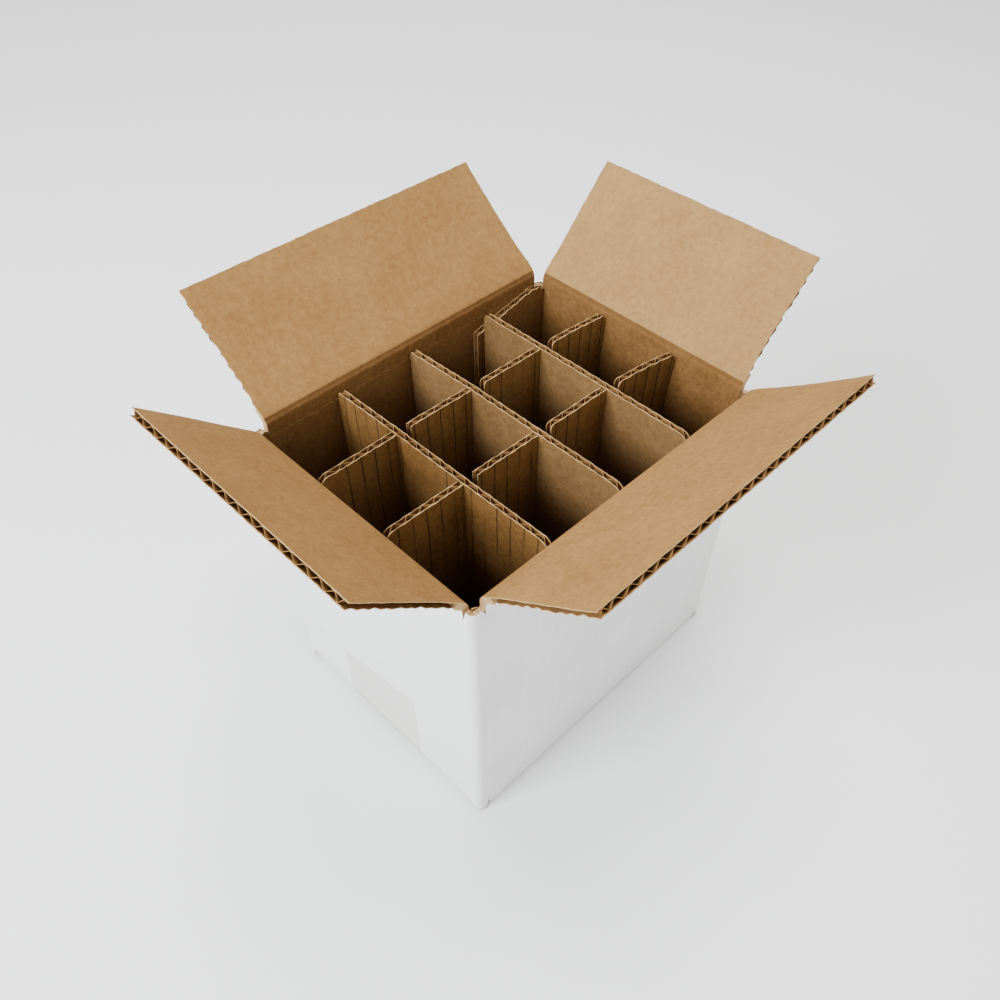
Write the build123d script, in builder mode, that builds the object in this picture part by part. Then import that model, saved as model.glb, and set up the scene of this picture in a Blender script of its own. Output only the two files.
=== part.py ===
"""Corrugated bottle shipping box: a folded four-panel carton with four open top
flaps, taped bottom flaps and a slotted 3 x 4 cell divider set.  Millimetres.

Frame: origin at the centre of the underside, +Z up, +X along the long side
(four cells), +Y along the short side (three cells).  The taped end panels face
-X and +X, the long panels face -Y (front) and +Y (back).
"""
from build123d import *
from math import sin, cos, radians, tan
import os

os.makedirs("parts", exist_ok=True)

# ------------------------------------------------------------------ dimensions
L = 156.0                 # outside length, X
W = 120.0                 # outside width, Y
T = 2.8                   # board thickness, B flute
PITCH = 6.5               # flute pitch
LINER = 0.35              # liner sheet
MEDIUM = 0.35             # fluting sheet
CREST = 1.2               # flat of the fluting where it is glued to a liner
R_EDGE = 3.0              # outside radius of a folded vertical edge
R_FOLD = 2.4              # outside radius of a bottom fold

GAP = 0.3                 # clearance between two layers that lie on each other

MAJ_BOTTOM = 57.2 - T     # reach of a bottom major flap from its panel's inner face
MIN_BOTTOM = 52.5         # reach of a bottom minor flap from its panel's inner face
Z_MIN = T + GAP           # underside of the bottom minor flaps
Z_FLOOR = Z_MIN + T       # upper side of the bottom minor flaps
SLOT_X = 5.8              # flap ends cut back from the outside corner, along X
SLOT_Y = 4.0              # flap ends cut back from the outside corner, along Y

# top flap hinges: each axis lies in its panel's mid-plane
Z_AX_MAJ = 145.80         # axis height of the long (major) flaps
Z_AX_MIN = 143.15         # axis height of the short (minor) flaps, one board lower when shut
N_IN_MAJ = 0.70           # inner face of a major flap from its axis
N_IN_MIN = 1.15           # inner face of a minor flap from its axis
S_FREE = 54.4             # free edge of every top flap from its axis
S_ROOT_MAJ = 6.0          # length of the pressed score taper on a major flap
S_ROOT_MIN = 5.0          # the same on a minor flap
NOSE = 0.35               # half thickness of the pressed score line

A_FRONT, A_BACK, A_LEFT, A_RIGHT = 53.5, 50.5, 48.0, 43.5   # lean from upright, outward

# divider set
Z_DIV = Z_FLOOR + GAP     # dividers stand just on the bottom minor flaps
Z_DIV_TOP = 141.5
X_SHORT = (-37.8, 0.0, 38.6)       # mid-planes of the three short dividers
Y_LONG = (-14.0, 22.2)             # mid-planes of the two long dividers
SLOT_W = 7.0                       # width of a divider slot
SLOT_PLAY = 0.15                   # board to the near edge of its slot
R_DIV = 4.0                        # rounded upper corner of a divider's end
DIV_X0, DIV_X1 = -74.7, 74.8       # ends of a long divider
DIV_Y0, DIV_Y1 = -55.8, 56.8       # ends of a short divider
DIV_Y1_TAB = 54.0                  # end of the short divider that meets the glue tab

# glue tab, inside the back panel at the +X corner
TAB_X = 33.5
TAB_Z = ((75.2, 8.0), (75.2, 137.3), (68.0, 139.6), (33.5, 132.4), (33.5, 13.0))

# bottom tape
TAPE_T = 0.10
TAPE_Y0, TAPE_Y1 = -22.0, 26.0     # 48 mm wide, laid a little off the middle
TAPE_LEFT = ((-22.0, 47.5), (26.0, 37.2))   # cut end on the -X panel: (y, z)
TAPE_RIGHT = ((-22.0, 41.0), (26.0, 44.5))  # cut end on the +X panel

# ------------------------------------------------- corrugated section (trapezoids)
rise = T - 2 * LINER - MEDIUM                  # height of a flute channel
run = PITCH / 2 - CREST
leg = (run ** 2 + rise ** 2) ** 0.5
half_leg = MEDIUM / 2 * leg / rise             # half the fluting's thickness along the board
H_TOP = CREST / 2 + MEDIUM / 2 * run / rise - half_leg
H_BASE = PITCH / 2 - H_TOP - 2 * half_leg


def flute(sign):
    """Corners of one channel about the board's mid-plane: sign +1 has its wide
    side on the +Y liner, -1 on the -Y liner."""
    y_base = sign * (T / 2 - LINER)
    y_top = y_base - sign * rise
    return [(-H_BASE, y_base), (H_BASE, y_base), (H_TOP, y_top), (-H_TOP, y_top)]


def centres(lo, hi, shift=0.0, edge=0.9):
    """Channel centres along a board from lo to hi, whole channels only."""
    mid = (lo + hi) / 2 + shift
    n = int((hi - lo) / PITCH) + 2
    return [mid + k * PITCH for k in range(-n, n + 1)
            if lo + edge + H_BASE <= mid + k * PITCH <= hi - edge - H_BASE]


# =============================================================== box body
# One sheet: four panels, the glue tab and the four shut bottom flaps.
Z_TOP_MAJ = Z_AX_MAJ - 1.05      # inner top of the long panels
Z_TOP_MIN = Z_AX_MIN - 1.45      # inner top of the end panels
X_SLOT = L / 2 - SLOT_X          # half width of the flaps on the long panels
Y_SLOT = W / 2 - SLOT_Y          # half width of the flaps on the end panels

with BuildPart() as box_body:
    # four panels as a folded ring, its vertical edges rounded
    with BuildSketch(Plane.XY.offset(Z_FLOOR + 1.0)) as ring:
        RectangleRounded(L, W, R_EDGE)
        RectangleRounded(L - 2 * T, W - 2 * T, 0.4, mode=Mode.SUBTRACT)
    extrude(amount=Z_TOP_MAJ - Z_FLOOR - 1.0)
    # the folded corners run down almost to the floor
    with BuildSketch(Plane.XY.offset(1.0)) as posts:
        RectangleRounded(L, W, R_EDGE)
        RectangleRounded(L - 2 * T, W - 2 * T, 0.4, mode=Mode.SUBTRACT)
        Rectangle(2 * X_SLOT, W + 2, mode=Mode.SUBTRACT)
        Rectangle(L + 2, 2 * Y_SLOT, mode=Mode.SUBTRACT)
    extrude(amount=Z_FLOOR + 1.0)
    # long panels' lower part, bottom fold and bottom major flaps
    with BuildSketch(Plane.YZ.offset(-X_SLOT)) as major_section:
        for s in (-1, 1):
            with BuildLine():
                Polyline((s * W / 2, R_FOLD), (s * W / 2, Z_FLOOR + 2.0),
                         (s * (W / 2 - T), Z_FLOOR + 2.0), (s * (W / 2 - T), T),
                         (s * (W / 2 - T - MAJ_BOTTOM), T), (s * (W / 2 - T - MAJ_BOTTOM), 0),
                         (s * (W / 2 - R_FOLD), 0))
                RadiusArc((s * (W / 2 - R_FOLD), 0), (s * W / 2, R_FOLD), -s * R_FOLD)
            make_face()
    extrude(amount=2 * X_SLOT)
    # end panels' lower part, bottom fold and bottom minor flaps
    with BuildSketch(Plane.XZ.offset(-Y_SLOT)) as minor_section:
        for s in (-1, 1):
            with BuildLine():
                Polyline((s * L / 2, Z_MIN + R_FOLD), (s * L / 2, Z_FLOOR + 2.0),
                         (s * (L / 2 - T), Z_FLOOR + 2.0), (s * (L / 2 - T), Z_FLOOR),
                         (s * (L / 2 - T - MIN_BOTTOM), Z_FLOOR), (s * (L / 2 - T - MIN_BOTTOM), Z_MIN),
                         (s * (L / 2 - R_FOLD), Z_MIN))
                RadiusArc((s * (L / 2 - R_FOLD), Z_MIN), (s * L / 2, Z_MIN + R_FOLD), -s * R_FOLD)
            make_face()
    extrude(amount=2 * Y_SLOT)
    # glue tab on the inside of the back panel
    with BuildSketch(Plane.XZ.offset(-(W / 2 - T))) as tab_outline:
        Polygon(*TAB_Z, align=None)
    extrude(amount=T)
    # score bevels along the panels' upper edges
    with BuildSketch(Plane.YZ.offset(-L)) as major_bevel:
        for s in (-1, 1):
            o = W / 2
            Polygon((s * (o + 2), Z_AX_MAJ - 7.5), (s * o, Z_AX_MAJ - 3.9), (s * (o - 1.4), Z_AX_MAJ - 1.4),
                    (s * (o - 2.0), Z_TOP_MAJ), (s * (o - T - 3), Z_TOP_MAJ), (s * (o - T - 3), Z_AX_MAJ + 3),
                    (s * (o + 2), Z_AX_MAJ + 3), align=None)
    extrude(amount=2 * L, mode=Mode.SUBTRACT)
    with BuildSketch(Plane.XZ.offset(-W)) as minor_bevel:
        for s in (-1, 1):
            o = L / 2
            Polygon((s * (o + 2), Z_AX_MIN - 6.0), (s * o, Z_AX_MIN - 3.7), (s * (o - 1.1), Z_AX_MIN - 1.95),
                    (s * (o - 1.6), Z_TOP_MIN), (s * (o - SLOT_X), Z_TOP_MIN), (s * (o - SLOT_X), Z_AX_MIN + 6),
                    (s * (o + 2), Z_AX_MIN + 6), align=None)
    extrude(amount=2 * W, mode=Mode.SUBTRACT)
    # the slot between the flaps is deeper at the glued corner
    with BuildSketch(Plane.XY.offset(137.5)) as glued_slot:
        with Locations((L / 2 - SLOT_X / 2 + 1, W / 2 - 1.4 + 1)):
            Rectangle(SLOT_X + 2, T + 2)
    extrude(amount=20, mode=Mode.SUBTRACT)
    with BuildSketch(Plane.XY.offset(139.2)) as corner_slots:
        with Locations((-L / 2, -W / 2), (-L / 2, W / 2), (L / 2, -W / 2), (L / 2, W / 2)):
            Rectangle(2 * SLOT_X, 2 * SLOT_Y)
    extrude(amount=20, mode=Mode.SUBTRACT)
    # flutes of the long panels, upright, open at the upper edge
    with BuildSketch(Plane.XY.offset(Z_FLOOR + 2.5)) as long_flutes:
        for s in (-1, 1):
            for side, shift in ((1, 0.0), (-1, PITCH / 2)):
                with Locations(*[(x, s * (W / 2 - T / 2)) for x in centres(-L / 2 + R_EDGE, L / 2 - R_EDGE, shift)]):
                    Polygon(*flute(side), align=None)
    extrude(amount=150, mode=Mode.SUBTRACT)
    # flutes of the end panels
    with BuildSketch(Plane.XY.offset(Z_FLOOR + 2.5)) as end_flutes:
        for s in (-1, 1):
            for side, shift in ((1, 0.0), (-1, PITCH / 2)):
                with Locations(*[Location((s * (L / 2 - T / 2), y), 90) for y in centres(-W / 2 + R_EDGE, W / 2 - R_EDGE, shift)]):
                    Polygon(*flute(side), align=None)
    extrude(amount=150, mode=Mode.SUBTRACT)
    # flutes of the glue tab
    with BuildSketch(Plane.XY.offset(6.0)) as tab_flutes:
        for side, shift in ((1, 0.0), (-1, PITCH / 2)):
            with Locations(*[(x, W / 2 - 1.5 * T) for x in centres(TAB_X, L / 2 - T, shift)]):
                Polygon(*flute(side), align=None)
    extrude(amount=150, mode=Mode.SUBTRACT)
    # flutes of the bottom major flaps, open at the middle seam
    for s in (-1, 1):
        with BuildSketch(Plane((0, s * (W / 2 - T - 2.0), T / 2), x_dir=(1, 0, 0), z_dir=(0, -s, 0))) as maj_flutes:
            for side, shift in ((1, 0.0), (-1, PITCH / 2)):
                with Locations(*[(x, 0) for x in centres(-X_SLOT, X_SLOT, shift)]):
                    Polygon(*flute(side), align=None)
        extrude(amount=MAJ_BOTTOM, mode=Mode.SUBTRACT)
    # flutes of the bottom minor flaps, open at their free edges
    for s in (-1, 1):
        with BuildSketch(Plane((s * (L / 2 - T - 2.0), 0, Z_MIN + T / 2), x_dir=(0, 1, 0), z_dir=(-s, 0, 0))) as min_flutes:
            for side, shift in ((1, 0.0), (-1, PITCH / 2)):
                with Locations(*[(y, 0) for y in centres(-Y_SLOT, Y_SLOT, shift)]):
                    Polygon(*flute(side), align=None)
        extrude(amount=MIN_BOTTOM, mode=Mode.SUBTRACT)
box_body.part.label = "box_body"
export_step(box_body.part, "parts/box_body.step")


# =============================================================== top flaps
# Each flap is drawn in its own frame: c along the crease, d from the axis to the
# free edge, n towards the kraft inner face.  c x d = n.
def flap_frame(lean, out, crease):
    a = radians(lean)
    up = Vector(0, 0, 1)
    o = Vector(*out)
    d = o * sin(a) + up * cos(a)
    n = o * -cos(a) + up * sin(a)
    return Vector(*crease), d, n


def flap_profile(n_in, s_root):
    """Side profile (s, n): pressed score line, taper to full board, flat to the free edge."""
    n_out = n_in - T
    return [(-NOSE, -NOSE), (0.2, -NOSE - 0.1), (s_root, n_out), (S_FREE, n_out),
            (S_FREE, n_in), (2.4, n_in), (-NOSE, NOSE)]


def flap_outline(c0, c1):
    """Outline (c, s) from the crease to the free edge, its ends tapering slightly."""
    return [(c0 + 0.4, -2), (c0, 3.0), (c0 + 0.5, 14.0), (c0 + 0.8, S_FREE + 2),
            (c1 - 0.8, S_FREE + 2), (c1 - 0.5, 14.0), (c1, 3.0), (c1 - 0.4, -2)]


# front flap (major): crease along -X so that c x d points to the inner face
c, d, n = flap_frame(A_FRONT, (0, -1, 0), (-1, 0, 0))
axis = Vector(0, -(W / 2 - T / 2), Z_AX_MAJ)
with BuildPart() as top_flap_front:
    with BuildSketch(Plane(axis, x_dir=d, z_dir=c)) as profile:
        Polygon(*flap_profile(N_IN_MAJ, S_ROOT_MAJ), align=None)
    extrude(amount=X_SLOT + 5, both=True)
    with BuildSketch(Plane(axis - n * 5, x_dir=c, z_dir=n)) as outline:
        Polygon(*flap_outline(-X_SLOT, X_SLOT), align=None)
    extrude(amount=10, mode=Mode.INTERSECT)
    with BuildSketch(Plane(axis + d * (S_ROOT_MAJ + 0.5) + n * (N_IN_MAJ - T / 2), x_dir=c, z_dir=d)) as flutes:
        for side, shift in ((1, 0.0), (-1, PITCH / 2)):
            with Locations(*[(x, 0) for x in centres(-X_SLOT, X_SLOT, shift)]):
                Polygon(*flute(side), align=None)
    extrude(amount=S_FREE, mode=Mode.SUBTRACT)
top_flap_front.part.label = "top_flap_front"
export_step(top_flap_front.part, "parts/top_flap_front.step")

# back flap (major)
c, d, n = flap_frame(A_BACK, (0, 1, 0), (1, 0, 0))
axis = Vector(0, W / 2 - T / 2, Z_AX_MAJ)
with BuildPart() as top_flap_back:
    with BuildSketch(Plane(axis, x_dir=d, z_dir=c)) as profile:
        Polygon(*flap_profile(N_IN_MAJ, S_ROOT_MAJ), align=None)
    extrude(amount=X_SLOT + 5, both=True)
    with BuildSketch(Plane(axis - n * 5, x_dir=c, z_dir=n)) as outline:
        Polygon(*flap_outline(-X_SLOT, X_SLOT), align=None)
    extrude(amount=10, mode=Mode.INTERSECT)
    with BuildSketch(Plane(axis + d * (S_ROOT_MAJ + 0.5) + n * (N_IN_MAJ - T / 2), x_dir=c, z_dir=d)) as flutes:
        for side, shift in ((1, 0.0), (-1, PITCH / 2)):
            with Locations(*[(x, 0) for x in centres(-X_SLOT, X_SLOT, shift)]):
                Polygon(*flute(side), align=None)
    extrude(amount=S_FREE, mode=Mode.SUBTRACT)
top_flap_back.part.label = "top_flap_back"
export_step(top_flap_back.part, "parts/top_flap_back.step")

# left flap (minor), on the -X end panel
c, d, n = flap_frame(A_LEFT, (-1, 0, 0), (0, 1, 0))
axis = Vector(-(L / 2 - T / 2), 0, Z_AX_MIN)
with BuildPart() as top_flap_left:
    with BuildSketch(Plane(axis, x_dir=d, z_dir=c)) as profile:
        Polygon(*flap_profile(N_IN_MIN, S_ROOT_MIN), align=None)
    extrude(amount=Y_SLOT + 5, both=True)
    with BuildSketch(Plane(axis - n * 5, x_dir=c, z_dir=n)) as outline:
        Polygon(*flap_outline(-Y_SLOT, Y_SLOT), align=None)
    extrude(amount=10, mode=Mode.INTERSECT)
    with BuildSketch(Plane(axis + d * (S_ROOT_MIN + 0.5) + n * (N_IN_MIN - T / 2), x_dir=c, z_dir=d)) as flutes:
        for side, shift in ((1, 0.0), (-1, PITCH / 2)):
            with Locations(*[(x, 0) for x in centres(-Y_SLOT, Y_SLOT, shift)]):
                Polygon(*flute(side), align=None)
    extrude(amount=S_FREE, mode=Mode.SUBTRACT)
top_flap_left.part.label = "top_flap_left"
export_step(top_flap_left.part, "parts/top_flap_left.step")

# right flap (minor), on the +X end panel, cut back further at its -Y end
c, d, n = flap_frame(A_RIGHT, (1, 0, 0), (0, -1, 0))
axis = Vector(L / 2 - T / 2, 0, Z_AX_MIN)
RIGHT_C0, RIGHT_C1 = -Y_SLOT, 53.5
with BuildPart() as top_flap_right:
    with BuildSketch(Plane(axis, x_dir=d, z_dir=c)) as profile:
        Polygon(*flap_profile(N_IN_MIN, S_ROOT_MIN), align=None)
    extrude(amount=Y_SLOT + 5, both=True)
    with BuildSketch(Plane(axis - n * 5, x_dir=c, z_dir=n)) as outline:
        Polygon(*flap_outline(RIGHT_C0, RIGHT_C1), align=None)
    extrude(amount=10, mode=Mode.INTERSECT)
    with BuildSketch(Plane(axis + d * (S_ROOT_MIN + 0.5) + n * (N_IN_MIN - T / 2), x_dir=c, z_dir=d)) as flutes:
        for side, shift in ((1, 0.0), (-1, PITCH / 2)):
            with Locations(*[(x, 0) for x in centres(RIGHT_C0, RIGHT_C1, shift)]):
                Polygon(*flute(side), align=None)
    extrude(amount=S_FREE, mode=Mode.SUBTRACT)
top_flap_right.part.label = "top_flap_right"
export_step(top_flap_right.part, "parts/top_flap_right.step")


# =============================================================== divider set
# Long dividers: slots open at the top.  Short dividers: slots open at the bottom.
# Both sets are slotted to half their height, so every board stands on the bottom.
Z_MID = (Z_DIV + Z_DIV_TOP) / 2
SLOT_OVER = 0.6           # each slot is cut slightly past half height


def slot_span(board):
    """A slot's two edges: the crossing board lies against the low edge."""
    lo = board - T / 2 - SLOT_PLAY
    return lo, lo + SLOT_W


def upper_rounding(x0, x1, radius):
    """Board outline between x0 and x1 with its two upper corners rounded."""
    return x0, x1, radius


# long divider next to the front panel
with BuildPart() as divider_long_front:
    with BuildSketch(Plane.XZ.offset(-(Y_LONG[0] + T / 2))) as outline:
        with Locations(((DIV_X0 + DIV_X1) / 2, (Z_DIV + Z_DIV_TOP) / 2)):
            Rectangle(DIV_X1 - DIV_X0, Z_DIV_TOP - Z_DIV)
        for x in X_SHORT:
            lo, hi = slot_span(x)
            with Locations(((lo + hi) / 2, (Z_MID - SLOT_OVER + Z_DIV_TOP + 5) / 2)):
                Rectangle(hi - lo, Z_DIV_TOP + 5 - Z_MID + SLOT_OVER, mode=Mode.SUBTRACT)
        fillet(outline.vertices().group_by(Axis.Y)[-1], radius=2.0)
    extrude(amount=T)
    with BuildSketch(Plane.XY.offset(Z_DIV - 1)) as flutes:
        for side, shift in ((1, 0.0), (-1, PITCH / 2)):
            with Locations(*[(x, Y_LONG[0]) for x in centres(DIV_X0, DIV_X1, shift, 0.4)]):
                Polygon(*flute(side), align=None)
    extrude(amount=Z_DIV_TOP, mode=Mode.SUBTRACT)
divider_long_front.part.label = "divider_long_front"
export_step(divider_long_front.part, "parts/divider_long_front.step")

# long divider next to the back panel
with BuildPart() as divider_long_back:
    with BuildSketch(Plane.XZ.offset(-(Y_LONG[1] + T / 2))) as outline:
        with Locations(((DIV_X0 + DIV_X1) / 2, (Z_DIV + Z_DIV_TOP) / 2)):
            Rectangle(DIV_X1 - DIV_X0, Z_DIV_TOP - Z_DIV)
        for x in X_SHORT:
            lo, hi = slot_span(x)
            with Locations(((lo + hi) / 2, (Z_MID - SLOT_OVER + Z_DIV_TOP + 5) / 2)):
                Rectangle(hi - lo, Z_DIV_TOP + 5 - Z_MID + SLOT_OVER, mode=Mode.SUBTRACT)
        fillet(outline.vertices().group_by(Axis.Y)[-1], radius=2.0)
    extrude(amount=T)
    with BuildSketch(Plane.XY.offset(Z_DIV - 1)) as flutes:
        for side, shift in ((1, 0.0), (-1, PITCH / 2)):
            with Locations(*[(x, Y_LONG[1]) for x in centres(DIV_X0, DIV_X1, shift, 0.4)]):
                Polygon(*flute(side), align=None)
    extrude(amount=Z_DIV_TOP, mode=Mode.SUBTRACT)
divider_long_back.part.label = "divider_long_back"
export_step(divider_long_back.part, "parts/divider_long_back.step")

# short dividers, -X to +X
with BuildPart() as divider_short_left:
    with BuildSketch(Plane.YZ.offset(X_SHORT[0] - T / 2)) as outline:
        with Locations(((DIV_Y0 + DIV_Y1) / 2, (Z_DIV + Z_DIV_TOP) / 2)):
            Rectangle(DIV_Y1 - DIV_Y0, Z_DIV_TOP - Z_DIV)
        fillet(outline.vertices().group_by(Axis.Y)[-1], radius=R_DIV)
        for y in Y_LONG:
            lo, hi = slot_span(y)
            with Locations(((lo + hi) / 2, (Z_DIV - 5 + Z_MID + SLOT_OVER) / 2)):
                Rectangle(hi - lo, Z_MID + SLOT_OVER - Z_DIV + 5, mode=Mode.SUBTRACT)
    extrude(amount=T)
    with BuildSketch(Plane.XY.offset(Z_DIV - 1)) as flutes:
        for side, shift in ((1, 0.0), (-1, PITCH / 2)):
            with Locations(*[Location((X_SHORT[0], y), 90) for y in centres(DIV_Y0, DIV_Y1, shift, 0.4)]):
                Polygon(*flute(side), align=None)
    extrude(amount=Z_DIV_TOP, mode=Mode.SUBTRACT)
divider_short_left.part.label = "divider_short_left"
export_step(divider_short_left.part, "parts/divider_short_left.step")

with BuildPart() as divider_short_middle:
    with BuildSketch(Plane.YZ.offset(X_SHORT[1] - T / 2)) as outline:
        with Locations(((DIV_Y0 + DIV_Y1) / 2, (Z_DIV + Z_DIV_TOP) / 2)):
            Rectangle(DIV_Y1 - DIV_Y0, Z_DIV_TOP - Z_DIV)
        fillet(outline.vertices().group_by(Axis.Y)[-1], radius=R_DIV)
        for y in Y_LONG:
            lo, hi = slot_span(y)
            with Locations(((lo + hi) / 2, (Z_DIV - 5 + Z_MID + SLOT_OVER) / 2)):
                Rectangle(hi - lo, Z_MID + SLOT_OVER - Z_DIV + 5, mode=Mode.SUBTRACT)
    extrude(amount=T)
    with BuildSketch(Plane.XY.offset(Z_DIV - 1)) as flutes:
        for side, shift in ((1, 0.0), (-1, PITCH / 2)):
            with Locations(*[Location((X_SHORT[1], y), 90) for y in centres(DIV_Y0, DIV_Y1, shift, 0.4)]):
                Polygon(*flute(side), align=None)
    extrude(amount=Z_DIV_TOP, mode=Mode.SUBTRACT)
divider_short_middle.part.label = "divider_short_middle"
export_step(divider_short_middle.part, "parts/divider_short_middle.step")

with BuildPart() as divider_short_right:
    with BuildSketch(Plane.YZ.offset(X_SHORT[2] - T / 2)) as outline:
        with Locations(((DIV_Y0 + DIV_Y1_TAB) / 2, (Z_DIV + Z_DIV_TOP) / 2)):
            Rectangle(DIV_Y1_TAB - DIV_Y0, Z_DIV_TOP - Z_DIV)
        fillet(outline.vertices().group_by(Axis.Y)[-1], radius=R_DIV)
        for y in Y_LONG:
            lo, hi = slot_span(y)
            with Locations(((lo + hi) / 2, (Z_DIV - 5 + Z_MID + SLOT_OVER) / 2)):
                Rectangle(hi - lo, Z_MID + SLOT_OVER - Z_DIV + 5, mode=Mode.SUBTRACT)
    extrude(amount=T)
    with BuildSketch(Plane.XY.offset(Z_DIV - 1)) as flutes:
        for side, shift in ((1, 0.0), (-1, PITCH / 2)):
            with Locations(*[Location((X_SHORT[2], y), 90) for y in centres(DIV_Y0, DIV_Y1_TAB, shift, 0.4)]):
                Polygon(*flute(side), align=None)
    extrude(amount=Z_DIV_TOP, mode=Mode.SUBTRACT)
divider_short_right.part.label = "divider_short_right"
export_step(divider_short_right.part, "parts/divider_short_right.step")


# =============================================================== bottom tape
# One strip: up the -X panel, under the seam of the bottom flaps, up the +X panel.
g = 0.03                   # film to board
xo = L / 2 + g
with BuildPart() as bottom_tape:
    with BuildSketch(Plane.XZ.offset(-TAPE_Y1)) as strip_section:
        with BuildLine():
            Polyline((-xo, 60), (-xo, Z_MIN), (-xo + Z_MIN + 0.05, -g), (xo - Z_MIN - 0.05, -g), (xo, Z_MIN), (xo, 60),
                     (xo + TAPE_T, 60), (xo + TAPE_T, Z_MIN - 0.05), (xo - Z_MIN, -g - TAPE_T),
                     (-xo + Z_MIN, -g - TAPE_T), (-xo - TAPE_T, Z_MIN - 0.05), (-xo - TAPE_T, 60), close=True)
        make_face()
    extrude(amount=TAPE_Y1 - TAPE_Y0)
    # slanted cut ends
    with BuildSketch(Plane.YZ.offset(-L)) as left_cut:
        Polygon((TAPE_Y0 - 5, TAPE_LEFT[0][1] + 1.07), TAPE_LEFT[0], TAPE_LEFT[1], (TAPE_Y1 + 5, TAPE_LEFT[1][1] - 1.07),
                (TAPE_Y1 + 5, 80), (TAPE_Y0 - 5, 80), align=None)
    extrude(amount=L, mode=Mode.SUBTRACT)
    with BuildSketch(Plane.YZ.offset(0)) as right_cut:
        Polygon((TAPE_Y0 - 5, TAPE_RIGHT[0][1] - 0.36), TAPE_RIGHT[0], TAPE_RIGHT[1], (TAPE_Y1 + 5, TAPE_RIGHT[1][1] + 0.36),
                (TAPE_Y1 + 5, 80), (TAPE_Y0 - 5, 80), align=None)
    extrude(amount=L, mode=Mode.SUBTRACT)
bottom_tape.part.label = "bottom_tape"
export_step(bottom_tape.part, "parts/bottom_tape.step")
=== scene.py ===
import bpy, math, random
import numpy as np
from mathutils import Matrix, Vector


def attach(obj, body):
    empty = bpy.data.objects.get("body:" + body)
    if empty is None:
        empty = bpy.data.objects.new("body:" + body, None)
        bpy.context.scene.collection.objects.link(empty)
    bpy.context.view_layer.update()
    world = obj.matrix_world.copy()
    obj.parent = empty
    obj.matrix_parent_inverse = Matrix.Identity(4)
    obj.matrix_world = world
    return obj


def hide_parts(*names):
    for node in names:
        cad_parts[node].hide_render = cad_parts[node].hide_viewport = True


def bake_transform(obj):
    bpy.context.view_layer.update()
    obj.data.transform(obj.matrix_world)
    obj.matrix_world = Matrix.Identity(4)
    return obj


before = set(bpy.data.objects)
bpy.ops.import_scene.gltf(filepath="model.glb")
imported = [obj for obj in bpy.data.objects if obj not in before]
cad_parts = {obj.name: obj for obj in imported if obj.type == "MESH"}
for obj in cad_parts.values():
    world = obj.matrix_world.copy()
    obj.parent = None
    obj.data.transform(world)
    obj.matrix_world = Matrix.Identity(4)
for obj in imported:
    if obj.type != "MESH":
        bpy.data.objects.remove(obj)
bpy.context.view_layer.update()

# ------------------------------------------------------------------ camera
cam_data = bpy.data.cameras.new("camera")
cam = bpy.data.objects.new("camera", cam_data)
bpy.context.scene.collection.objects.link(cam)
right = Vector((0.7025382, -0.71146435, 0.01607929))
up = Vector((0.537511, 0.54530413, 0.64321484))
back = Vector((-0.46639253, -0.4432402, 0.7655169))
m = Matrix.Identity(4)
for i in range(3):
    m[i][0], m[i][1], m[i][2] = right[i], up[i], back[i]
m[0][3], m[1][3], m[2][3] = -0.187577, -0.183551, 0.365516
cam.matrix_world = m
cam_data.sensor_width = 36.0
cam_data.lens = 32.016
cam_data.shift_x = -0.0185
cam_data.shift_y = 0.0623
cam_data.clip_start = 0.01
bpy.context.scene.camera = cam

# ------------------------------------------------------------------ sizes, mm
L, W, T, PITCH = 156.0, 120.0, 2.8, 6.5
LIN, MED = 0.3, 0.22
Z_MIN, Z_FLOOR = 3.1, 5.9
X_SLOT, Y_SLOT = 72.2, 56.0
rng = np.random.default_rng(7)


# ------------------------------------------------------------------ materials
def new_mat(name):
    mat = bpy.data.materials.new(name)
    mat.use_nodes = True
    nt = mat.node_tree
    return mat, nt, nt.nodes["Principled BSDF"]


def lin(r, g, b):
    f = lambda v: ((v / 255 + 0.055) / 1.055) ** 2.4 if v > 10 else v / 255 / 12.92
    return (f(r), f(g), f(b), 1.0)


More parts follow.
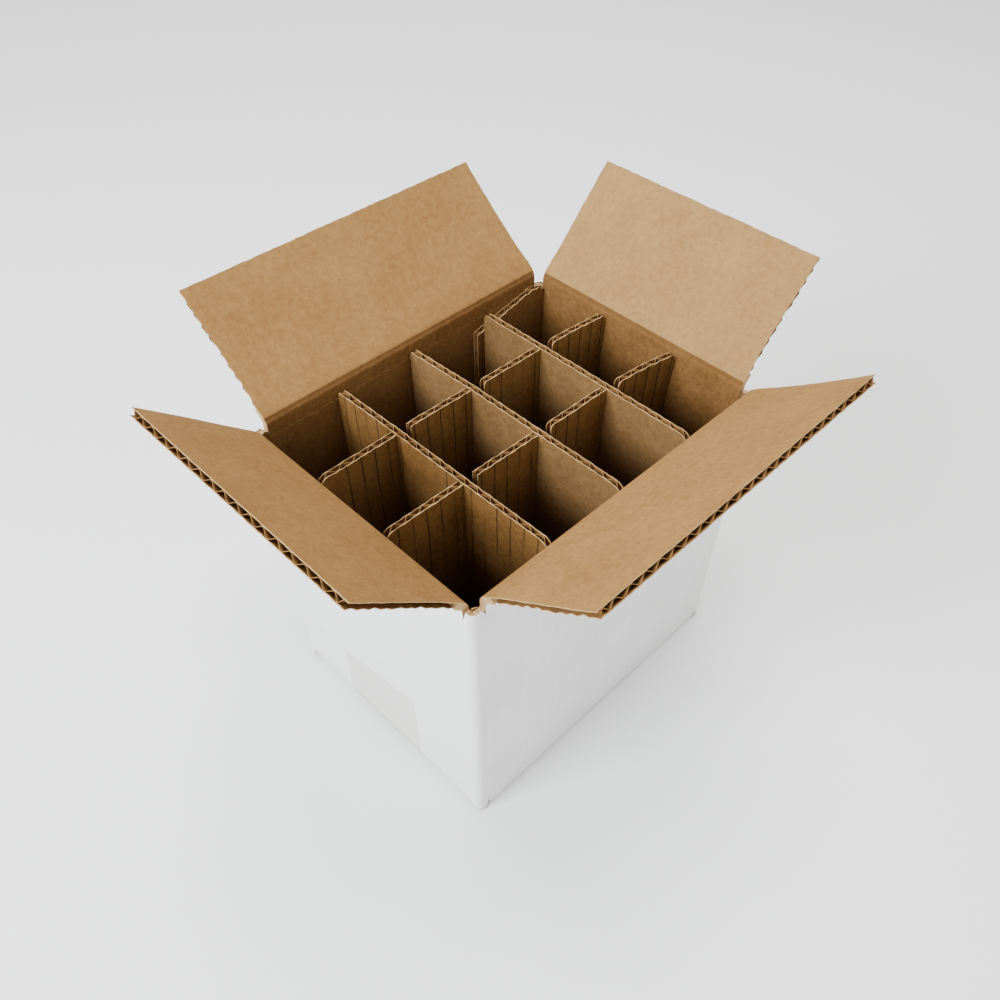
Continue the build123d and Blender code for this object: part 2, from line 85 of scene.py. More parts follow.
def kraft(name, rgb, rgb_dark, lines=None, line_amount=0.0, speck=0.35, bump=0.25, painted_depth_shade=False):
    """Kraft paper: mottled pulp, fine fibres, dark and light specks, faint washboard lines that are partly painted
    shade, and optional painted shade darkening towards the bottom.
    """
    mat, nt, bsdf = new_mat(name)
    N, K = nt.nodes, nt.links
    geo = N.new("ShaderNodeTexCoord")
    def noise(scale, detail, rough, stretch=None):
        t = N.new("ShaderNodeTexNoise"); t.inputs["Scale"].default_value = scale
        t.inputs["Detail"].default_value = detail; t.inputs["Roughness"].default_value = rough
        if stretch:
            mp = N.new("ShaderNodeMapping"); mp.inputs["Scale"].default_value = stretch
            K.new(geo.outputs["Object"], mp.inputs["Vector"]); K.new(mp.outputs["Vector"], t.inputs["Vector"])
        else:
            K.new(geo.outputs["Object"], t.inputs["Vector"])
        return t
    cloud = noise(38, 3, 0.6)
    pulp = noise(420, 5, 0.7)
    fibre = noise(900, 3, 0.6, (1.0, 0.35, 0.6))
    spk = noise(700, 1, 0.5)
    base = N.new("ShaderNodeMix"); base.data_type = "RGBA"
    base.inputs["A"].default_value = lin(*rgb_dark); base.inputs["B"].default_value = lin(*rgb)
    mr = N.new("ShaderNodeMapRange"); mr.inputs["From Min"].default_value = 0.32; mr.inputs["From Max"].default_value = 0.66
    add = N.new("ShaderNodeMath"); add.operation = "ADD"
    m1 = N.new("ShaderNodeMath"); m1.operation = "MULTIPLY"; m1.inputs[1].default_value = 0.62
    m2 = N.new("ShaderNodeMath"); m2.operation = "MULTIPLY"; m2.inputs[1].default_value = 0.38
    K.new(pulp.outputs["Fac"], m1.inputs[0]); K.new(cloud.outputs["Fac"], m2.inputs[0])
    K.new(m1.outputs[0], add.inputs[0]); K.new(m2.outputs[0], add.inputs[1])
    K.new(add.outputs[0], mr.inputs["Value"]); K.new(mr.outputs["Result"], base.inputs["Factor"])
    col = base.outputs["Result"]
    # specks
    for lo, hi, c2, amt in ((0.70, 0.78, tuple(v * 0.45 for v in rgb_dark), speck), (0.30, 0.24, tuple(min(255, v * 1.18) for v in rgb), speck * 0.8)):
        r = N.new("ShaderNodeMapRange"); r.inputs["From Min"].default_value = lo; r.inputs["From Max"].default_value = hi
        r.inputs["To Max"].default_value = amt
        K.new(spk.outputs["Fac"], r.inputs["Value"])
        mx = N.new("ShaderNodeMix"); mx.data_type = "RGBA"; mx.inputs["B"].default_value = lin(*c2)
        K.new(r.outputs["Result"], mx.inputs["Factor"]); K.new(col, mx.inputs["A"]); col = mx.outputs["Result"]
    sep = N.new("ShaderNodeSeparateXYZ"); K.new(geo.outputs["Object"], sep.inputs[0])
    if lines is not None:
        # flute lines: thin, broken dark strokes one flute apart, partly real crush lines along the flutes and partly
        # painted washboard shade between them
        ax, phase = lines
        a = N.new("ShaderNodeMath"); a.operation = "ADD"; a.inputs[1].default_value = 1.0 - phase / 1000
        K.new(sep.outputs[ax], a.inputs[0])
        wob = noise(60, 2, 0.5); wm = N.new("ShaderNodeMath"); wm.operation = "MULTIPLY_ADD"
        wm.inputs[1].default_value = 0.0016; K.new(wob.outputs["Fac"], wm.inputs[0]); K.new(a.outputs[0], wm.inputs[2])
        mo = N.new("ShaderNodeMath"); mo.operation = "PINGPONG"; mo.inputs[1].default_value = PITCH / 2000
        K.new(wm.outputs[0], mo.inputs[0])
        r = N.new("ShaderNodeMapRange"); r.inputs["From Min"].default_value = 0.00042; r.inputs["From Max"].default_value = 0.00012
        K.new(mo.outputs[0], r.inputs["Value"])
        brk = noise(55, 2, 0.6, (1, 1, 0.45)); rb = N.new("ShaderNodeMapRange")
        rb.inputs["From Min"].default_value = 0.42; rb.inputs["From Max"].default_value = 0.52
        K.new(brk.outputs["Fac"], rb.inputs["Value"])
        mu = N.new("ShaderNodeMath"); mu.operation = "MULTIPLY"; K.new(r.outputs["Result"], mu.inputs[0]); K.new(rb.outputs["Result"], mu.inputs[1])
        mu2 = N.new("ShaderNodeMath"); mu2.operation = "MULTIPLY"; mu2.inputs[1].default_value = line_amount; K.new(mu.outputs[0], mu2.inputs[0])
        # dark stroke colour: part crush line, part painted shade
        mx = N.new("ShaderNodeMix"); mx.data_type = "RGBA"; mx.inputs["B"].default_value = lin(38, 20, 8)
        K.new(mu2.outputs[0], mx.inputs["Factor"]); K.new(col, mx.inputs["A"]); col = mx.outputs["Result"]
    if painted_depth_shade:
        # painted shade: board inside the cells is darkened and reddened towards the bottom, standing in for the shade
        # deep in the cells
        r = N.new("ShaderNodeMapRange"); r.inputs["From Min"].default_value = 0.138; r.inputs["From Max"].default_value = 0.080
        r.inputs["To Max"].default_value = 0.8
        K.new(sep.outputs[2], r.inputs["Value"])
        mx = N.new("ShaderNodeMix"); mx.data_type = "RGBA"; mx.inputs["B"].default_value = (0.05, 0.014, 0.003, 1)
        K.new(r.outputs["Result"], mx.inputs["Factor"]); K.new(col, mx.inputs["A"]); col = mx.outputs["Result"]
    K.new(col, bsdf.inputs["Base Color"])
    bsdf.inputs["Roughness"].default_value = 0.86
    bsdf.inputs["Specular IOR Level"].default_value = 0.18
    b = N.new("ShaderNodeBump"); b.inputs["Strength"].default_value = bump; b.inputs["Distance"].default_value = 0.0002
    hs = N.new("ShaderNodeMath"); hs.operation = "ADD"; K.new(pulp.outputs["Fac"], hs.inputs[0]); K.new(fibre.outputs["Fac"], hs.inputs[1])
    K.new(hs.outputs[0], b.inputs["Height"]); K.new(b.outputs["Normal"], bsdf.inputs["Normal"])
    return mat


KRAFT_MAJ = kraft("kraft_flap_long", (154, 117, 68), (129, 92, 48))
# painted light: a lighter copy of the flap kraft, used on the right flap to stand in for the light it catches
KRAFT_FLAP_LIT = kraft("kraft_flap_right_painted_light", (164, 130, 83), (140, 106, 62))
# painted shade: the inside liner and divider kraft are darker copies of the flaps' kraft, standing in for the shade
# inside the box
KRAFT_IN = kraft("kraft_inside", (140, 104, 60), (104, 70, 32), speck=0.45, painted_depth_shade=True)
KRAFT_DIV = kraft("kraft_divider", (140, 108, 68), (106, 76, 42), speck=0.5, bump=0.5, painted_depth_shade=True)
KRAFT_DIVX = kraft("kraft_divider_flute_crush_and_shade_lines_x", (142, 106, 58), (104, 72, 32), lines=(0, 1.6), line_amount=0.85, speck=0.5, bump=0.6, painted_depth_shade=True)
KRAFT_DIVY = kraft("kraft_divider_flute_crush_and_shade_lines_y", (142, 106, 58), (104, 72, 32), lines=(1, 0.8), line_amount=0.85, speck=0.5, bump=0.6, painted_depth_shade=True)
KRAFT_EDGE = kraft("kraft_cut_edge", (204, 172, 126), (160, 124, 82), speck=0.5)
KRAFT_WAVE = kraft("kraft_fluting", (150, 110, 64), (96, 64, 34), speck=0.4)
CREASE_SHADE = kraft("kraft_crease_painted_shade", (124, 90, 48), (98, 68, 32), speck=0.4)


def white_liner():
    mat, nt, bsdf = new_mat("white_liner")
    N, K = nt.nodes, nt.links
    geo = N.new("ShaderNodeTexCoord")
    a = N.new("ShaderNodeTexNoise"); a.inputs["Scale"].default_value = 30; a.inputs["Detail"].default_value = 4
    f = N.new("ShaderNodeTexNoise"); f.inputs["Scale"].default_value = 520; f.inputs["Detail"].default_value = 4
    K.new(geo.outputs["Object"], a.inputs["Vector"]); K.new(geo.outputs["Object"], f.inputs["Vector"])
    mx = N.new("ShaderNodeMix"); mx.data_type = "RGBA"
    mx.inputs["A"].default_value = (0.79, 0.79, 0.775, 1); mx.inputs["B"].default_value = (0.87, 0.87, 0.855, 1)
    ad = N.new("ShaderNodeMath"); ad.operation = "ADD"; K.new(a.outputs["Fac"], ad.inputs[0]); K.new(f.outputs["Fac"], ad.inputs[1])
    r = N.new("ShaderNodeMapRange"); r.inputs["From Min"].default_value = 0.7; r.inputs["From Max"].default_value = 1.3
    K.new(ad.outputs[0], r.inputs["Value"]); K.new(r.outputs["Result"], mx.inputs["Factor"])
    K.new(mx.outputs["Result"], bsdf.inputs["Base Color"])
    bsdf.inputs["Roughness"].default_value = 0.62
    bsdf.inputs["Specular IOR Level"].default_value = 0.3
    b = N.new("ShaderNodeBump"); b.inputs["Strength"].default_value = 0.12; b.inputs["Distance"].default_value = 0.0002
    K.new(f.outputs["Fac"], b.inputs["Height"]); K.new(b.outputs["Normal"], bsdf.inputs["Normal"])
    return mat


WHITE = white_liner()


def tape_mat():
    mat, nt, bsdf = new_mat("clear_tape_film")
    N, K = nt.nodes, nt.links
    geo = N.new("ShaderNodeTexCoord")
    w = N.new("ShaderNodeTexNoise"); w.inputs["Scale"].default_value = 45; w.inputs["Detail"].default_value = 2; w.inputs["Distortion"].default_value = 1.5
    K.new(geo.outputs["Object"], w.inputs["Vector"])
    mx = N.new("ShaderNodeMix"); mx.data_type = "RGBA"
    mx.inputs["A"].default_value = (0.78, 0.78, 0.70, 1); mx.inputs["B"].default_value = (0.86, 0.86, 0.80, 1)
    K.new(w.outputs["Fac"], mx.inputs["Factor"]); K.new(mx.outputs["Result"], bsdf.inputs["Base Color"])
    bsdf.inputs["Roughness"].default_value = 0.16
    bsdf.inputs["Alpha"].default_value = 0.24
    bsdf.inputs["Coat Weight"].default_value = 0.4
    b = N.new("ShaderNodeBump"); b.inputs["Strength"].default_value = 0.25; b.inputs["Distance"].default_value = 0.0006
    K.new(w.outputs["Fac"], b.inputs["Height"]); K.new(b.outputs["Normal"], bsdf.inputs["Normal"])
    return mat


TAPE = tape_mat()
MATS = [WHITE, KRAFT_MAJ, KRAFT_FLAP_LIT, KRAFT_IN, KRAFT_DIV, KRAFT_DIVX, KRAFT_DIVY, KRAFT_EDGE, KRAFT_WAVE, CREASE_SHADE]
IX = {mat.name: i for i, mat in enumerate(MATS)}
iW, iMAJ, iFLAP_LIT, iIN, iD, iDX, iDY, iE, iF, iC = range(10)


# ------------------------------------------------------------------ mesh code
class Build:
    def __init__(self):
        self.v, self.f, self.m, self.n = [], [], [], 0

    def sheet(self, F, cs, ds, n_lo, n_hi, mats, mask=None, edge_lo=None):
        """A thin closed sheet over the grid cs x ds.  n_lo, n_hi: functions of (C, D).
        F maps (C, D, N) to points in mm.  mats: (low side, high side, edge)."""
        C, D = np.meshgrid(cs, ds, indexing="ij")
        lo, hi = n_lo(C, D), n_hi(C, D)
        a = F(C, D, lo).reshape(-1, 3); b = F(C, D, hi).reshape(-1, 3)
        nc, nd = C.shape
        base = self.n
        self.v.append(a); self.v.append(b); self.n += 2 * nc * nd
        idx = np.arange(nc * nd).reshape(nc, nd)
        ok = np.ones((nc - 1, nd - 1), bool)
        if mask is not None:
            cm = (C[:-1, :-1] + C[1:, 1:]) / 2; dm = (D[:-1, :-1] + D[1:, 1:]) / 2
            ok = mask(cm, dm)
        i, j = np.nonzero(ok)
        p, q, r, s = idx[i, j], idx[i + 1, j], idx[i + 1, j + 1], idx[i, j + 1]
        off = nc * nd
        self._add(np.stack([p, s, r, q], 1) + base, mats[0])
        self._add(np.stack([p, q, r, s], 1) + base + off, mats[1])
        pad = np.pad(ok, 1)
        for di, dj, e0, e1 in ((-1, 0, (0, 1), (0, 0)), (1, 0, (1, 0), (1, 1)), (0, -1, (0, 0), (1, 0)), (0, 1, (1, 1), (0, 1))):
            nb = pad[1 + di:1 + di + nc - 1, 1 + dj:1 + dj + nd - 1]
            i, j = np.nonzero(ok & ~nb)
            if len(i):
                u = idx[i + e0[0], j + e0[1]]; w = idx[i + e1[0], j + e1[1]]
                self._add(np.stack([u, w, w + off, u + off], 1) + base, mats[2])

    def _add(self, quads, mat):
        self.f.append(quads); self.m.append(np.full(len(quads), mat, np.int32))

    def make(self, name, smooth=True):
        v = np.concatenate(self.v) / 1000.0
        f = np.concatenate(self.f); mi = np.concatenate(self.m)
        used, inv = np.unique(f.ravel(), return_inverse=True)
        v = v[used]; f = inv.reshape(f.shape)
        me = bpy.data.meshes.new(name)
        me.from_pydata(v.tolist(), [], f.tolist())
        for mat in MATS:
            me.materials.append(mat)
        me.polygons.foreach_set("material_index", mi)
        me.polygons.foreach_set("use_smooth", np.full(len(f), False))
        me.update()
        bm_fix(me)
        o = bpy.data.objects.new(name, me)
        bpy.context.scene.collection.objects.link(o)
        return o


def bm_fix(me):
    import bmesh
    bm = bmesh.new(); bm.from_mesh(me)
    bmesh.ops.recalc_face_normals(bm, faces=bm.faces)
    bm.to_mesh(me); bm.free()


def smooth_noise(x, seed, scale):
    """Seeded 1-D value noise, -1..1."""
    r = np.random.default_rng(seed).uniform(-1, 1, 4096)
    t = np.asarray(x, float) / scale + 700
    i = np.floor(t).astype(int); f = t - i; f = f * f * (3 - 2 * f)
    return r[i % 4096] * (1 - f) + r[(i + 1) % 4096] * f


def steps(lo, hi, step, extra=()):
    n = max(1, int(round((hi - lo) / step)))
    a = np.concatenate([np.linspace(lo, hi, n + 1), [e for e in extra if lo < e < hi]])
    a = np.unique(np.round(a, 3))
    keep = [a[0]]
    for q in a[1:]:
        if q - keep[-1] > 0.12 or q in extra: keep.append(q)
    return np.array(keep)


def board(B, F, c0, c1, d0, d1, m_lo, m_hi, seed=1, rag_lo=0.15, rag_hi=0.15, dtop=None, dbot=None, clo=None, chi=None,
          cuts=(), mask=None, step=0.81, dstep=6.0, fluted=True, wash=0.03, phase=0.0, edge=(iE, iE, iF)):
    """Corrugated board: a liner at n = -T/2, a liner at +T/2 and the fluting between."""
    cs = steps(c0, c1, step, cuts)
    ds = steps(d0, d1, dstep)
    ds = np.unique(np.round(np.concatenate([ds, [d1 - 0.5, d1 - 1.5, d0 + 1.0]]), 3))
    def warp(k, rag):
        def G(C, D, Nn):
            C2, D2 = C.copy(), D.copy()
            top = (dtop(C) if dtop else d1) + rag * smooth_noise(C, seed * 10 + k, 1.3)
            bot = dbot(C) if dbot else d0
            D2 = bot + (D - d0) / (d1 - d0) * (top - bot)
            t = (C - c0) / (c1 - c0)
            e0 = (clo(D2, k) if clo else c0); e1 = (chi(D2, k) if chi else c1)
            if clo or chi:
                # only the outermost 6 mm moves
                w0 = np.clip(1 - (C - c0) / 6.0, 0, 1); w1 = np.clip(1 - (c1 - C) / 6.0, 0, 1)
                C2 = C + w0 * (e0 - c0) + w1 * (e1 - c1)
            return F(C2, D2, Nn)
        return G
    wv = lambda C: np.cos(2 * np.pi * (C - phase) / PITCH)
    B.sheet(warp(1, rag_lo), cs, ds, lambda C, D: -T / 2 + wash * wv(C) + 0 * D, lambda C, D: -T / 2 + LIN + 0 * C, (m_lo, iF, edge[0]), mask)
    B.sheet(warp(2, rag_hi), cs, ds, lambda C, D: T / 2 - LIN + 0 * C, lambda C, D: T / 2 + wash * wv(C) - wash + 0 * D, (iF, m_hi, edge[1]), mask)
    if fluted:
        A = T / 2 - LIN - MED / 2
        th = lambda C: MED / 2 * np.sqrt(1 + (A * 2 * np.pi / PITCH * np.sin(2 * np.pi * (C - phase) / PITCH)) ** 2)
        mid = lambda C: A * np.sin(2 * np.pi * (C - phase) / PITCH + np.pi / 2) * 0.98
        B.sheet(warp(3, 0.12), cs, ds, lambda C, D: mid(C) - th(C), lambda C, D: mid(C) + th(C), (iF, iF, edge[2]), mask)


def finish_piece(o, body, *nodes, slot="white_lined_board"):
    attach(o, body)
    if nodes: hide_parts(*nodes)
    return o


# ------------------------------------------------------------------ top flaps
FLAPS = {
    "top_flap_front": ("flap_front", 53.5, (0, -(W / 2 - 1.4), 145.80), (0, -1), 0.70, iMAJ, (-72.2, 72.0)),
    "top_flap_back": ("flap_back", 50.5, (0, W / 2 - 1.4, 145.80), (0, 1), 0.70, iMAJ, (-72.0, 71.8)),
    "top_flap_left": ("flap_left", 48.0, (-(L / 2 - 1.4), 0, 143.15), (-1, 0), 1.15, iMAJ, (-55.9, 55.5)),
    "top_flap_right": ("flap_right", 43.5, (L / 2 - 1.4, 0, 143.15), (1, 0), 1.15, iFLAP_LIT, (-52.9, 55.7)),
}
S_FREE = 53.95
for k, (name, (body, lean, axis, out, n_in, mat_in, (c0, c1))) in enumerate(FLAPS.items()):
    a = math.radians(lean)
    A = np.array(axis); O = np.array([out[0], out[1], 0.0]); UP = np.array([0, 0, 1.0])
    c = np.array([1.0, 0, 0]) if out[0] == 0 else np.array([0, 1.0, 0])
    d = O * math.sin(a) + UP * math.cos(a); n = -O * math.cos(a) + UP * math.sin(a)
    mid = n_in - T / 2
    def F(C, D, N, A=A, c=c, d=d, n=n, mid=mid, k=k, out=out):
        bow = 0.35 * np.sin(np.pi * np.clip((D - 5) / 49, 0, 1)) * (1 + 0.5 * smooth_noise(C + 90, 40 + k, 26))
        return A + C[..., None] * c + D[..., None] * d + (N + mid - (np.abs(bow) if out[0] == 0 else -0.6 * np.abs(bow)))[..., None] * n
    # the white liner's torn sawtooth fringe along the side edges
    def saw(D, s, depth, pitch):
        t = (D / pitch + s) % 1.0
        return depth * (1 - t) * (0.4 + 0.6 * np.abs(smooth_noise(D, int(s * 97) + 3, pitch)))
    def clo(D, kk, c0=c0, k=k):
        taper = 0.9 * np.clip((D - 2) / 12, 0, 1)
        if kk == 1: return c0 + taper + 0.15 + saw(D, 0.3 + k, 1.5, 5.2)
        if kk == 3: return c0 + taper + 1.5 + 0.4 * smooth_noise(D, 5 + k, 2)
        return c0 + taper + 0.12 * smooth_noise(D, 21 + k, 1.6)
    def chi(D, kk, c1=c1, k=k):
        taper = 0.9 * np.clip((D - 2) / 12, 0, 1)
        if kk == 1: return c1 - taper - 0.15 - saw(D, 0.6 + k, 1.2, 4.3)
        if kk == 3: return c1 - taper - 1.4 + 0.4 * smooth_noise(D, 9 + k, 2)
        return c1 - taper + 0.14 * smooth_noise(D, 31 + k, 1.6)
    B = Build()
    board(B, F, c0, c1, 4.2, S_FREE, iW, mat_in, seed=11 + k, clo=clo, chi=chi, dstep=1.6, rag_lo=0.2, rag_hi=0.14,
          dtop=lambda C, k=k: S_FREE + 0.0 * C, phase=1.0 + k, wash=0.02)
    o = B.make(name + "_board")
    finish_piece(o, body, name)
    # pressed crease: one strip that bends between the panel and the flap
    u_ax = 1.4
    ta = math.tan(a)
    z_ax = A[2]
    zk_in = z_ax + (n_in - (T - u_ax) * math.cos(a)) / math.sin(a)
    zk_out = z_ax + ((n_in - T) + u_ax * math.cos(a)) / math.sin(a)
    top_in = None
    def path(t, inner):
        """t from -8 (down the panel) to +8 (along the flap), mm from the crease."""
        u = T if inner else 0.0
        zk = zk_in if inner else zk_out
        tt = np.asarray(t, float)
        r = 1.1
        soft = np.sqrt(tt * tt + r * r)
        along = (tt + soft) / 2; below = (tt - soft) / 2
        uu = u - along * math.sin(a); zz = zk + below + along * math.cos(a)
        return uu, zz
    s_in = -(T - u_ax) * math.sin(a) + (zk_in - z_ax) * math.cos(a)
    s_out = (u_ax) * math.sin(a) + (zk_out - z_ax) * math.cos(a)
    def FC(C, D, N, A=A, c=c, O=O, s_in=s_in, s_out=s_out, path=path):
        # N 0 = outer surface, 1 = inner surface
        out_t = D + (s_in - s_out) * 0.0
        ui, zi = path(D, True); uo, zo = path(D + np.clip(D, 0, None) * 0, False)
        # keep the flap end square: shift the outer path so both meet the board's start
        sh = np.clip(D / 8.0, 0, 1) * (s_in - s_out)
        uo, zo = path(D + sh, False)
        N2 = N
        u = ui * N2 + uo * (1 - N2); z = zi * N2 + zo * (1 - N2)
        base = A * np.array([1, 1, 0]) + O * u_ax
        return base + C[..., None] * c - u[..., None] * O + z[..., None] * np.array([0, 0, 1.0])
    t_end = 4.4 - s_in
    B = Build()
    cs = steps(c0 + 0.2, c1 - 0.2, 1.6); ds = np.linspace(-8, t_end, 25)
    zero = lambda C, D: 0 * C + 0.002 * np.abs(D); one = lambda C, D: 1 - 0.10 * np.exp(-(D / 1.0) ** 2)
    B.sheet(FC, cs, ds, zero, one, (iW, mat_in, iE))
    cr = B.make(name.replace("top_flap", "crease"))
    me = cr.data
    # the pressed line itself is a little darker: painted shade in the crease; below it the strip is the panel's inner
    # face
    fm = np.zeros(len(me.polygons), np.int32); me.polygons.foreach_get("material_index", fm)
    cen = np.zeros(len(me.polygons) * 3); me.polygons.foreach_get("center", cen); cen = cen.reshape(-1, 3) * 1000
    du = (cen - A) @ (-O) + u_ax
    zc = cen[:, 2]
    sel = (fm == mat_in)
    fm[sel & (zc < zk_in - 0.9)] = iIN
    fm[sel & (np.abs(zc - zk_in) < 0.75) & (du > T - 1.4)] = iC
    me.polygons.foreach_set("material_index", fm)
    base = A.copy()
    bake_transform(cr)

# ------------------------------------------------------------------ box body
B = Build()
R = 3.0
def loop(inset):
    """Plan path of a liner: rounded rectangle, starting on the back panel near the glued corner."""
    r = max(R - inset, 0.35); hx, hy = L / 2 - inset, W / 2 - inset
    pts, side = [], []
    def line(p, q, step):
        nn = max(2, int(np.hypot(q[0] - p[0], q[1] - p[1]) / step))
        for i in range(nn): pts.append((p[0] + (q[0] - p[0]) * i / nn, p[1] + (q[1] - p[1]) * i / nn))
    def arc(cx, cy, a0):
        for i in range(6):
            t = math.radians(a0 + 15 * i); pts.append((cx + r * math.cos(t), cy + r * math.sin(t)))
    line((-(hx - r), -hy), (hx - r, -hy), 1.6); arc(hx - r, -(hy - r), -90)
    line((hx, -(hy - r)), (hx, hy - r), 1.6); arc(hx - r, hy - r, 0)
    line((hx - r, hy), (-(hx - r), hy), 1.6); arc(-(hx - r), hy - r, 90)
    line((-hx, hy - r), (-hx, -(hy - r)), 1.6); arc(-(hx - r), -(hy - r), 180)
    pts.append(pts[0])
    return np.array(pts)

def z_top(x, y):
    """Upper edge of the panels: just under the creases, lower in the corner slots."""
    maj = 145.6 - 7.6; mnr = 143.4 - 7.6
    long_side = np.abs(y) > W / 2 - 4.0
    z = np.where(long_side, maj, mnr)
    corner = (np.abs(x) > X_SLOT - 0.4) & (np.abs(y) > Y_SLOT - 0.4)
    notch = 141.3 + 0.8 * smooth_noise(x * 1.7 + y * 2.3, 77, 1.2)
    deep = (x > 0) & (y > 0)
    z = np.where(corner, np.where(deep, 137.6, notch), z)
    return z
def z_bot(x, y):
    corner = (np.abs(x) > X_SLOT) & (np.abs(y) > Y_SLOT)
    return np.where(corner, 1.1 + 0 * x, 8.0)

for inset_lo, inset_hi, mats in ((0.0, LIN, (iW, iF, iE)), (T - LIN, T, (iF, iIN, iE))):
    P0, P1 = loop(inset_lo), loop(inset_hi)
    nn = min(len(P0), len(P1))
    if len(P0) != len(P1):
        t0 = np.linspace(0, 1, len(P0)); t1 = np.linspace(0, 1, len(P1))
        P1 = np.stack([np.interp(t0, t1, P1[:, 0]), np.interp(t0, t1, P1[:, 1])], 1)
    ci = np.arange(len(P0)).astype(float)
    def FR(C, D, N, P0=P0, P1=P1):
        i = np.round(C).astype(int)
        x = P0[i, 0] * (1 - N) + P1[i, 0] * N; y = P0[i, 1] * (1 - N) + P1[i, 1] * N
        zt = z_top(P0[i, 0], P0[i, 1]); zb = z_bot(P0[i, 0], P0[i, 1])
        z = zb + (zt - zb) * D
        fl = 0.05 * np.sin(2 * np.pi * P0[i, 0] / PITCH) * (np.abs(P0[i, 1]) > W / 2 - 4) + 0.05 * np.sin(2 * np.pi * P0[i, 1] / PITCH) * (np.abs(P0[i, 0]) > L / 2 - 4)
        k = np.where(N < 0.5, 1.0, 0.0) * (fl - 0.05)
        x = x * (1 + k / (L / 2) * (np.abs(P0[i, 0]) > L / 2 - 4)); y = y * (1 + k / (W / 2) * (np.abs(P0[i, 1]) > W / 2 - 4))
        return np.stack([x, y, z], -1)
    B.sheet(FR, ci, np.linspace(0, 1, 30), lambda C, D: 0 * C, lambda C, D: 0 * C + 1, mats)

# slot bottoms: the board's thickness between the liners at the corners
for sx in (-1, 1):
    for sy in (-1, 1):
        deep = sx > 0 and sy > 0
        zt = 137.4 if deep else 141.0
        def FK(C, D, N, sx=sx, sy=sy, zt=zt):
            # C along the corner (arc angle 0..1), D down, N across the board
            ang = C * math.pi / 2
            r = R - N * (T - 2 * LIN) - LIN
            ext = np.where(C < 0, -C * 4, 0); ext2 = np.where(C > 1, (C - 1) * 4, 0)
            angc = np.clip(ang, 0, math.pi / 2)
            x = (L / 2 - R) + r * np.cos(angc) - ext2; y = (W / 2 - R) + r * np.sin(angc) - ext
            z = zt - 0.25 - D + 0.5 * smooth_noise(C * 9 + N * 3, 60 + sx + 2 * sy, 1.0) * (D < 0.1)
            return np.stack([sx * x, sy * y, z], -1)
        B.sheet(FK, np.linspace(-0.9, 1.9, 22), np.array([0, 1.2, 3.0]), lambda C, D: 0 * C, lambda C, D: 0 * C + 1, (iF, iF, iE))

# bottom flaps with their folds: path from the panel down round the fold to the seam
def fold_map(half, z0, along_x, sgn, r=2.4):
    def FF(C, D, N):
        n_out = (T / 2 - (N))            # 0 at the outer (white) face ... T at the inner
        s = D
        s1 = 8.0 - z0 - r; s2 = s1 + r * math.pi / 2
        t = np.clip((s - s1) / (s2 - s1), 0, 1) * math.pi / 2
        u = np.where(s < s1, 0.0, np.where(s > s2, r + (s - s2), r - r * np.cos(t)))
        z = np.where(s < s1, 8.0 - s, np.where(s > s2, z0, z0 + r - r * np.sin(t)))
        nu = np.where(s < s1, 1.0, np.where(s > s2, 0.0, np.cos(t))); nz = np.where(s < s1, 0.0, np.where(s > s2, 1.0, np.sin(t)))
        nn = np.where((s > s1) & (s < s2), np.minimum(n_out, r - 0.05), n_out)
        u = u + nn * nu; z = z + nn * nz
        v = sgn * (half - u)
        return np.stack([C, v, z], -1) if along_x else np.stack([v, C, z], -1)
    return FF
for sgn in (-1, 1):
    board(B, fold_map(W / 2, 0.0, True, sgn), -X_SLOT + 0.2, X_SLOT - 0.2, 0.0, 8.0 - 2.4 + 2.4 * math.pi / 2 + 54.4 - 0.2, iIN, iW, seed=51 + sgn, step=1.08, dstep=2.0, phase=0.4)
    board(B, fold_map(L / 2, Z_MIN, False, sgn), -Y_SLOT + 0.2, Y_SLOT - 0.2, 0.0, 8.0 - Z_MIN - 2.4 + 2.4 * math.pi / 2 + 52.0, iIN, iW, seed=61 + sgn, step=1.08, dstep=2.0, phase=0.4)

# glue tab on the back panel's inside
def FT(C, D, N):
    lift = 0.0 * C
    return np.stack([C, (W / 2 - T - T / 2 + 0.05) + N + 0 * C, D], -1)
tab_top = lambda C: np.interp(C, [33.5, 64.0, 67.5, 71.0, 75.2], [132.4, 138.8, 139.7, 139.2, 137.4])
board(B, FT, 33.6, 75.1, 12.0, 139.6, iIN, iIN, seed=71, dtop=tab_top, rag_lo=0.45, rag_hi=0.3, dstep=8, phase=0.9)
body_o = B.make("folded_carton")
finish_piece(body_o, "root", "box_body")

